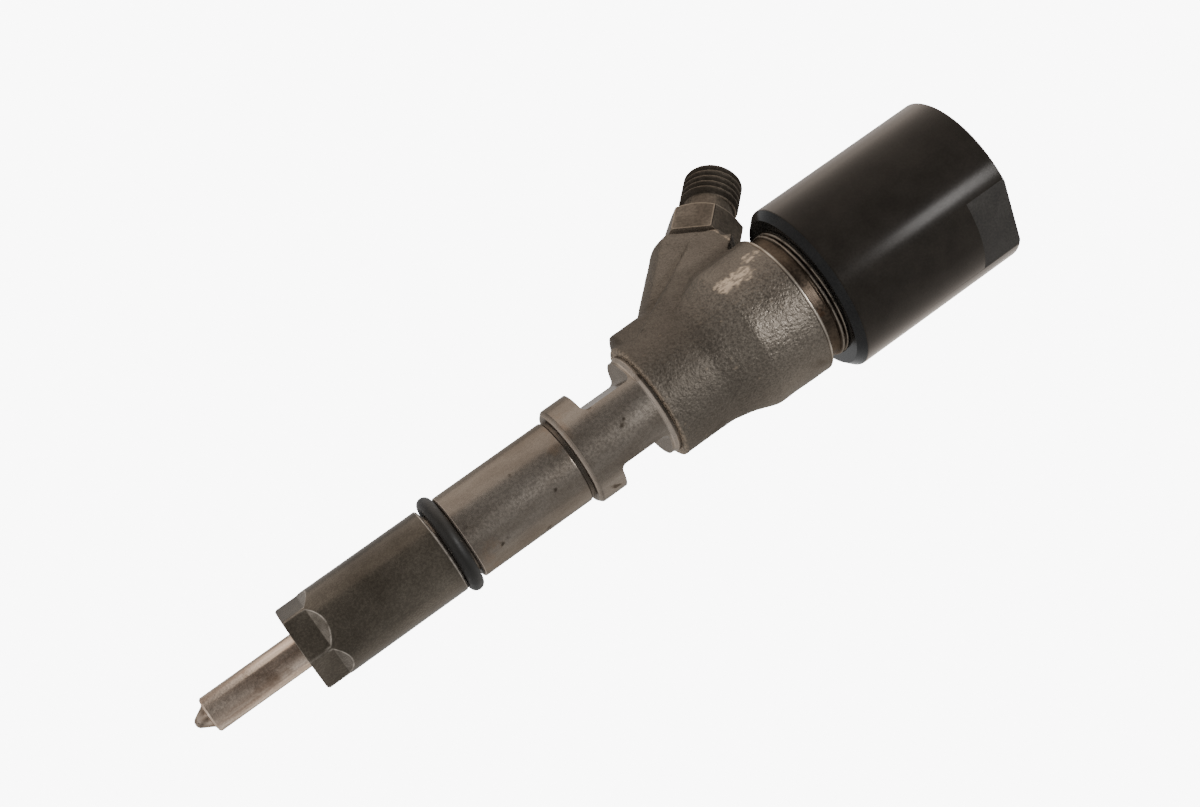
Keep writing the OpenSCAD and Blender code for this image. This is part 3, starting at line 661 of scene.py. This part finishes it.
def soften(obj):
    """Melts the joins of the forged shape, and adds its uneven skin."""
    at = coordinates(obj)
    keep_top = at[:, 2] > HEAD_TOP - 1.0
    keep_low = at[:, 2] < HEAD_Z + 1.0
    keep = np.maximum(keep_top, keep_low * 0.7)
    group = obj.vertex_groups.new(name="melt")
    for i, k in enumerate(keep):
        group.add([i], float(1 - k), "REPLACE")
    melt = obj.modifiers.new("melt", "SMOOTH")
    melt.factor, melt.iterations, melt.vertex_group = 0.5, 13, "melt"
    apply_modifiers(obj)
    at = coordinates(obj)
    normals = np.empty(len(at) * 3)
    obj.data.vertices.foreach_get("normal", normals)
    normals = normals.reshape(-1, 3)
    wave = np.array([noise.noise(Vector(p) * 0.22) * 0.10 + noise.noise(Vector(p) * 0.9) * 0.035
                     + noise.noise(Vector(p) * 2.2) * 0.02 for p in at])
    calm = np.clip((HEAD_TOP - 0.6 - at[:, 2]) / 1.5, 0, 1)
    calm = calm * np.clip((at[:, 2] - HEAD_Z - 0.3) / 1.2, 0.15, 1)
    at = at + normals * ((wave - 0.08) * calm)[:, None]
    obj.data.vertices.foreach_set("co", at.ravel())
    azimuth = np.degrees(np.arctan2(at[:, 1], at[:, 0]))
    ragged = np.array([noise.noise(Vector((p[0] * 1.6, p[1] * 1.6, p[2] * 1.1))) for p in at])
    # The worn patch, and the narrower strip that runs on to the rim
    patch = box_mask(azimuth, 84, 103, 6.0) * box_mask(at[:, 2], 95.8, 105.4, 2.0)
    strip = box_mask(azimuth, 76, 91, 5.0) * box_mask(at[:, 2], 103.4, 109.0, 1.5) * 0.7
    worn = np.clip((np.maximum(patch, strip) - 0.45 + ragged * 0.8) * 2.6, 0, 1)
    # Painted highlights: light bands along the head's top edge and its bottom rim
    rim = np.clip(1 - np.abs(at[:, 2] - (HEAD_TOP - 0.3)) / 0.35, 0, 1) * 0.8
    foot = np.clip(1 - (at[:, 2] - HEAD_Z) / 0.6, 0, 1) * 0.8
    mark(obj, "wear_and_highlight", np.maximum.reduce([worn, rim, foot]))
    # Painted shade: the lower barrel and flare are darker than the top, less so on the boss, with
    # ragged dirt added
    top = np.clip((at[:, 2] - HEAD_Z - 13) / 6, 0, 1) * (np.abs(azimuth) > 60)
    boss = np.clip((at[:, 0] - 12.5) / 2, 0, 1)
    dirt_and_shade = 0.3 * (1 - top) + 0.2 * np.clip(ragged, 0, 1)
    mark(obj, "grime_and_shade", dirt_and_shade * (1 - 0.6 * boss) * (1 - foot))


def box_mask(values, low, high, soft):
    """One between low and high, and nought outside, with soft ends."""
    return np.clip((values - low) / soft, 0, 1) * np.clip((high - values) / soft, 0, 1)


def ridges(z, a, pitch, low, high, start, end, fade=0.6):
    """Radius of a thread between its root and its crest."""
    phase = ((z - start) / pitch - a / (2 * math.pi)) % 1.0
    tooth = min(1.0, max(0.0, 1.45 - 2.9 * abs(phase - 0.5)))
    gate = min(1.0, max(0.0, (z - start) / fade)) * min(1.0, max(0.0, (end - z) / fade))
    return low + (high - low) * tooth * gate


def head_top():
    """The machined neck above the head, with the foot of the cap's thread."""
    root, crest_r = 13.0, 13.5
    profile = [(0, HEAD_TOP - 1.5), (14.3, HEAD_TOP - 1.5), (14.5, HEAD_TOP - 0.75),
               (14.5, HEAD_TOP - 0.3), (14.2, HEAD_TOP), (root, HEAD_TOP)]
    profile = rounded(profile, {3: 0.1, 4: 0.1})
    profile += dense([(root, HEAD_TOP + 0.01), (root, HEAD_TOP + 5.5)], 0.09)
    profile += [(root, BODY_TOP), (0, BODY_TOP)]

    def shape(r, z, a):
        if r < 12.9 or z < HEAD_TOP + 2.0:
            return r
        return ridges(z, a, 1.0, root, crest_r, HEAD_TOP + 2.2, BODY_TOP)

    obj = lathe("head_top", profile, 256, shape)
    at = coordinates(obj)
    r = np.hypot(at[:, 0], at[:, 1])
    # Painted highlights: lighter thread crests and a light line along the top edge
    crest = np.clip((r - 13.25) / 0.2, 0, 1) * (at[:, 2] > HEAD_TOP + 1) * 0.4
    edge = (r > 14.15) * (at[:, 2] > HEAD_TOP - 0.35)
    uneven = np.array([0.65 + 0.5 * noise.noise(Vector(p) * 0.35) for p in at])
    mark(obj, "wear_and_highlight", np.maximum(crest, edge * uneven))
    return place(obj, TURNED, ["holder_body"], sharp=50)


# ---- Inlet fitting ----

def inset(obj, width, least_area):
    """Insets the large faces, and returns how many of the points are on the edges."""
    bm = bmesh.new()
    bm.from_mesh(obj.data)
    edge_count = len(bm.verts)
    large = [f for f in bm.faces if f.calc_area() > least_area]
    bmesh.ops.inset_individual(bm, faces=large, thickness=width, use_even_offset=True)
    bm.to_mesh(obj.data)
    bm.free()
    return edge_count


def inlet():
    """The fitting with its pipe thread, and its hexagon as a second piece."""
    end, crest, root, pitch, foot = 53.5, 5.98, 5.0, 1.5, 45.3
    stub_r, bore = 5.05, 2.1
    outer = [(0, 30), (5.0, 30), (5.0, 33.0), (5.6, 34.0), (stub_r, 35.0), (stub_r, foot)]
    thread = dense([(stub_r, 45.31), (stub_r, 52.7)], 0.09) + [(5.2, end - 0.35), (4.9, end)]
    inner = [(4.2, end), (bore, end - 3.6), (bore, end - 8), (0, end - 8)]

    def shape(r, z, a):
        if r < 5.04 or z < foot or z > 52.8:
            return r
        return ridges(z, a, pitch, root + 0.1, crest, foot, 53.3, 0.45)

    stub = lathe("fitting", outer + thread + inner, 192, shape)
    at = coordinates(stub)
    turned = ((at[:, 2] - foot) / pitch - np.arctan2(at[:, 1], at[:, 0]) / (2 * math.pi)) % 1.0
    threaded = (np.hypot(at[:, 0], at[:, 1]) > 4.95) * (at[:, 2] > foot)
    # Painted highlight: a light line along each thread turn; painted shade: the rest of the thread
    # is darkened
    crest_line = np.exp(-((turned - 0.66) / 0.07) ** 2) * threaded
    mark(stub, "wear_and_highlight", crest_line * 0.55)
    mark(stub, "grime_and_shade", threaded * (1 - crest_line) * 0.6)
    moved(stub, INLET)
    place(stub, FITTING, ["inlet_connector"], sharp=45)
    hex_low, hex_top, across = 34.0, 40.9, 7
    corner = across / math.cos(math.pi / 6)
    corners = [k * math.pi / 3 for k in range(6)]
    outline = [(corner * math.cos(a), corner * math.sin(a)) for a in corners]
    hexagon = prism("hexagon", outline, hex_low, hex_top)
    chamfer = lathe("chamfer", [(0, hex_low), (7.7, hex_low), (8.3, 34.4), (8.3, 39.9),
                                (6.9, hex_top), (0, hex_top)], 192)
    cut(hexagon, [chamfer], "INTERSECT")
    soft = hexagon.modifiers.new("soft", "BEVEL")
    soft.width, soft.segments = 0.14, 2
    soft.limit_method, soft.angle_limit = "ANGLE", math.radians(35)
    apply_modifiers(hexagon)
    edge_count = inset(hexagon, 0.3, 4.0)
    count = len(hexagon.data.vertices)
    mark(hexagon, "wear_and_highlight", [0.5 if i < edge_count else 0.0 for i in range(count)])
    moved(hexagon, INLET)
    place(hexagon, FITTING, sharp=40)


# ---- Cap ----

FLAT_AZ = 173.6
FLAT_R = 15.65
FLAT_Z = 142.9


def cap():
    """The cap nut, with two spanner flats at its top."""
    low, top, r, chamfer = 113.3, 151.9, 17.5, 1.5
    mouth, recess, waist = 13.6, 13.4, 11.0
    profile = [(mouth, low), (r - chamfer, low), (r, low + chamfer), (r, top - 0.3),
               (r - 0.3, top), (recess, top), (recess, 138.6), (waist, 138.6), (waist, 126.6),
               (13.1, 126.6), (13.1, 123.6), (mouth, 123.6)]
    obj = lathe("cap", rounded(profile, {1: 0.3, 2: 0.5, 3: 0.1, 4: 0.15}), 288)
    tools = []
    outline = [(FLAT_R, FLAT_Z), (20, FLAT_Z), (20, 156), (FLAT_R, 156)]
    for turn in (FLAT_AZ, FLAT_AZ + 180):
        flat = prism("flat", outline, -20, 20, "Y")
        tools.append(moved(flat, Matrix.Rotation(math.radians(turn), 4, "Z")))
    cut(obj, tools)
    place(obj, CAP, ["solenoid_cap_nut"], sharp=30)
    flat_slot, edge_slot = 1, 2
    obj.data.materials.append(CAP_FLAT)
    obj.data.materials.append(CAP_EDGE)
    facing = Vector((math.cos(math.radians(FLAT_AZ)), math.sin(math.radians(FLAT_AZ)), 0))
    for polygon in obj.data.polygons:
        if abs(abs(polygon.normal.dot(facing)) - 1) < 1e-3 and polygon.center.z > FLAT_Z * MM:
            polygon.material_index = flat_slot
        elif polygon.center.z < (low + 1.4) * MM:
            polygon.material_index = edge_slot


# ---- Springs ----

def spring(node_name):
    """A CAD coil, copied, smooth-shaded, painted and tied to the injector body in place of its
    node.
    """
    obj = bpy.data.objects.new(node_name + "_coil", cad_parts[node_name].data.copy())
    bpy.context.collection.objects.link(obj)
    obj.data.shade_smooth()
    obj.data.set_sharp_from_angle(angle=math.radians(60))
    paint(obj, WIRE)
    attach(obj, BODY)
    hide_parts(node_name)
    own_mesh(obj)


spring("nozzle_spring")
spring("armature_spring")
nozzle()
nut()
oring()
stem()
head()
head_top()
inlet()
cap()


# ---- Camera, light and ground ----

FORWARD = Vector((0.67654788, -0.71240001, 0.18646499))
RIGHT = Vector((-0.52426797, -0.2881443, 0.80132138))
UP = Vector((0.51713254, 0.63988991, 0.56843192))
EYE = Vector((-227.08443927, 246.34924499, 5.89023428)) * MM

PHOTO_WIDTH = 1200
FOCAL_PIXELS = 1856.81858

camera = bpy.data.objects.new("camera", bpy.data.cameras.new("camera"))
bpy.context.collection.objects.link(camera)
camera.data.sensor_fit = "HORIZONTAL"
camera.data.sensor_width = 36
camera.data.lens = FOCAL_PIXELS / PHOTO_WIDTH * 36
camera.data.clip_start, camera.data.clip_end = 0.01, 50
turn = Matrix((RIGHT, UP, -FORWARD)).transposed()
camera.matrix_world = Matrix.Translation(EYE) @ turn.to_4x4()
bpy.context.scene.camera = camera


def panel(name, centre, aim, size, watts, tint=(1, 1, 1)):
    light = bpy.data.objects.new(name, bpy.data.lights.new(name, "AREA"))
    bpy.context.collection.objects.link(light)
    light.data.shape, light.data.size, light.data.size_y = "RECTANGLE", size[0], size[1]
    light.data.energy, light.data.color = watts, tint
    light.location = centre
    light.rotation_mode = "QUATERNION"
    light.rotation_quaternion = (Vector(aim) - Vector(centre)).to_track_quat("-Z", "Y")
    return light


MIDDLE = Vector((0, 0, 0.07))


def off(right, up, back):
    """A point from the object's middle, in the camera's directions, in metres."""
    return MIDDLE + RIGHT * right + UP * up - FORWARD * back


panel("key", Vector((-0.269, 0.188, 0.282)), Vector((0, 0, 0.11)), (0.07, 0.07), 1.6)
panel("fill", off(-0.10, 0.60, -0.05), MIDDLE, (0.9, 0.9), 3.6, (1, 0.87, 0.76))
panel("bounce", off(0.40, -0.40, -0.28), MIDDLE, (0.6, 0.6), 0.6, (1, 0.90, 0.80))

GROUND_R, GROUND_Z = 0.45, -0.16
edge = [math.radians(a) for a in range(0, 360, 5)]
ground = new_object("ground", [(GROUND_R * math.cos(a), GROUND_R * math.sin(a), GROUND_Z)
                               for a in edge], [tuple(range(len(edge)))])
paper = Nodes("paper")
paper_tone = paper.ramp(paper.noise(paper.position(), 3, 2), [(0.3, 0.86), (0.7, 0.90)])
paper.join(paper_tone, paper.bsdf.inputs["Base Color"])
paper.bsdf.inputs["Roughness"].default_value = 0.9
paint(ground, paper.material)

# A white surround that is only seen directly, so that the room alone lights the object
shell = bmesh.new()
bmesh.ops.create_icosphere(shell, subdivisions=4, radius=4.0)
surround = bpy.data.objects.new("surround", bpy.data.meshes.new("surround"))
shell.to_mesh(surround.data)
shell.free()
bpy.context.collection.objects.link(surround)
surround.visible_diffuse = surround.visible_glossy = surround.visible_shadow = False
white = Nodes("surround_white")
white.bsdf.inputs["Base Color"].default_value = (0, 0, 0, 1)
white.bsdf.inputs["Emission Color"].default_value = (1, 1, 1, 1)
white.bsdf.inputs["Emission Strength"].default_value = 9.0
white.material.cycles.emission_sampling = "NONE"
paint(surround, white.material)

world = bpy.data.worlds.new("studio")
bpy.context.scene.world = world
world.use_nodes = True
sky = world.node_tree
coords = sky.nodes.new("ShaderNodeTexCoord")


def glow(direction, stops):
    """Brightness of the surroundings by the angle from a direction."""
    dot = sky.nodes.new("ShaderNodeVectorMath")
    dot.operation = "DOT_PRODUCT"
    dot.inputs[1].default_value = tuple(Vector(direction).normalized())
    remap = sky.nodes.new("ShaderNodeMapRange")
    remap.inputs["From Min"].default_value = -1
    ramp = sky.nodes.new("ShaderNodeValToRGB")
    elements = ramp.color_ramp.elements
    while len(elements) < len(stops):
        elements.new(0.5)
    for element, (angle, value) in zip(elements, sorted(stops, reverse=True)):
        element.position = (math.cos(math.radians(angle)) + 1) / 2
        element.color = (value, value, value, 1)
    sky.links.new(coords.outputs["Generated"], dot.inputs[0])
    sky.links.new(dot.outputs["Value"], remap.inputs["Value"])
    sky.links.new(remap.outputs["Result"], ramp.inputs["Fac"])
    return ramp.outputs["Color"]


# The darkest part of the room, as an azimuth
DIM_SIDE = math.radians(112)
room = glow((math.cos(DIM_SIDE), math.sin(DIM_SIDE), -0.15),
            [(0, 0.26), (25, 0.30), (60, 0.50), (95, 0.8), (180, 0.9)])
sky.links.new(room, sky.nodes["Background"].inputs["Color"])
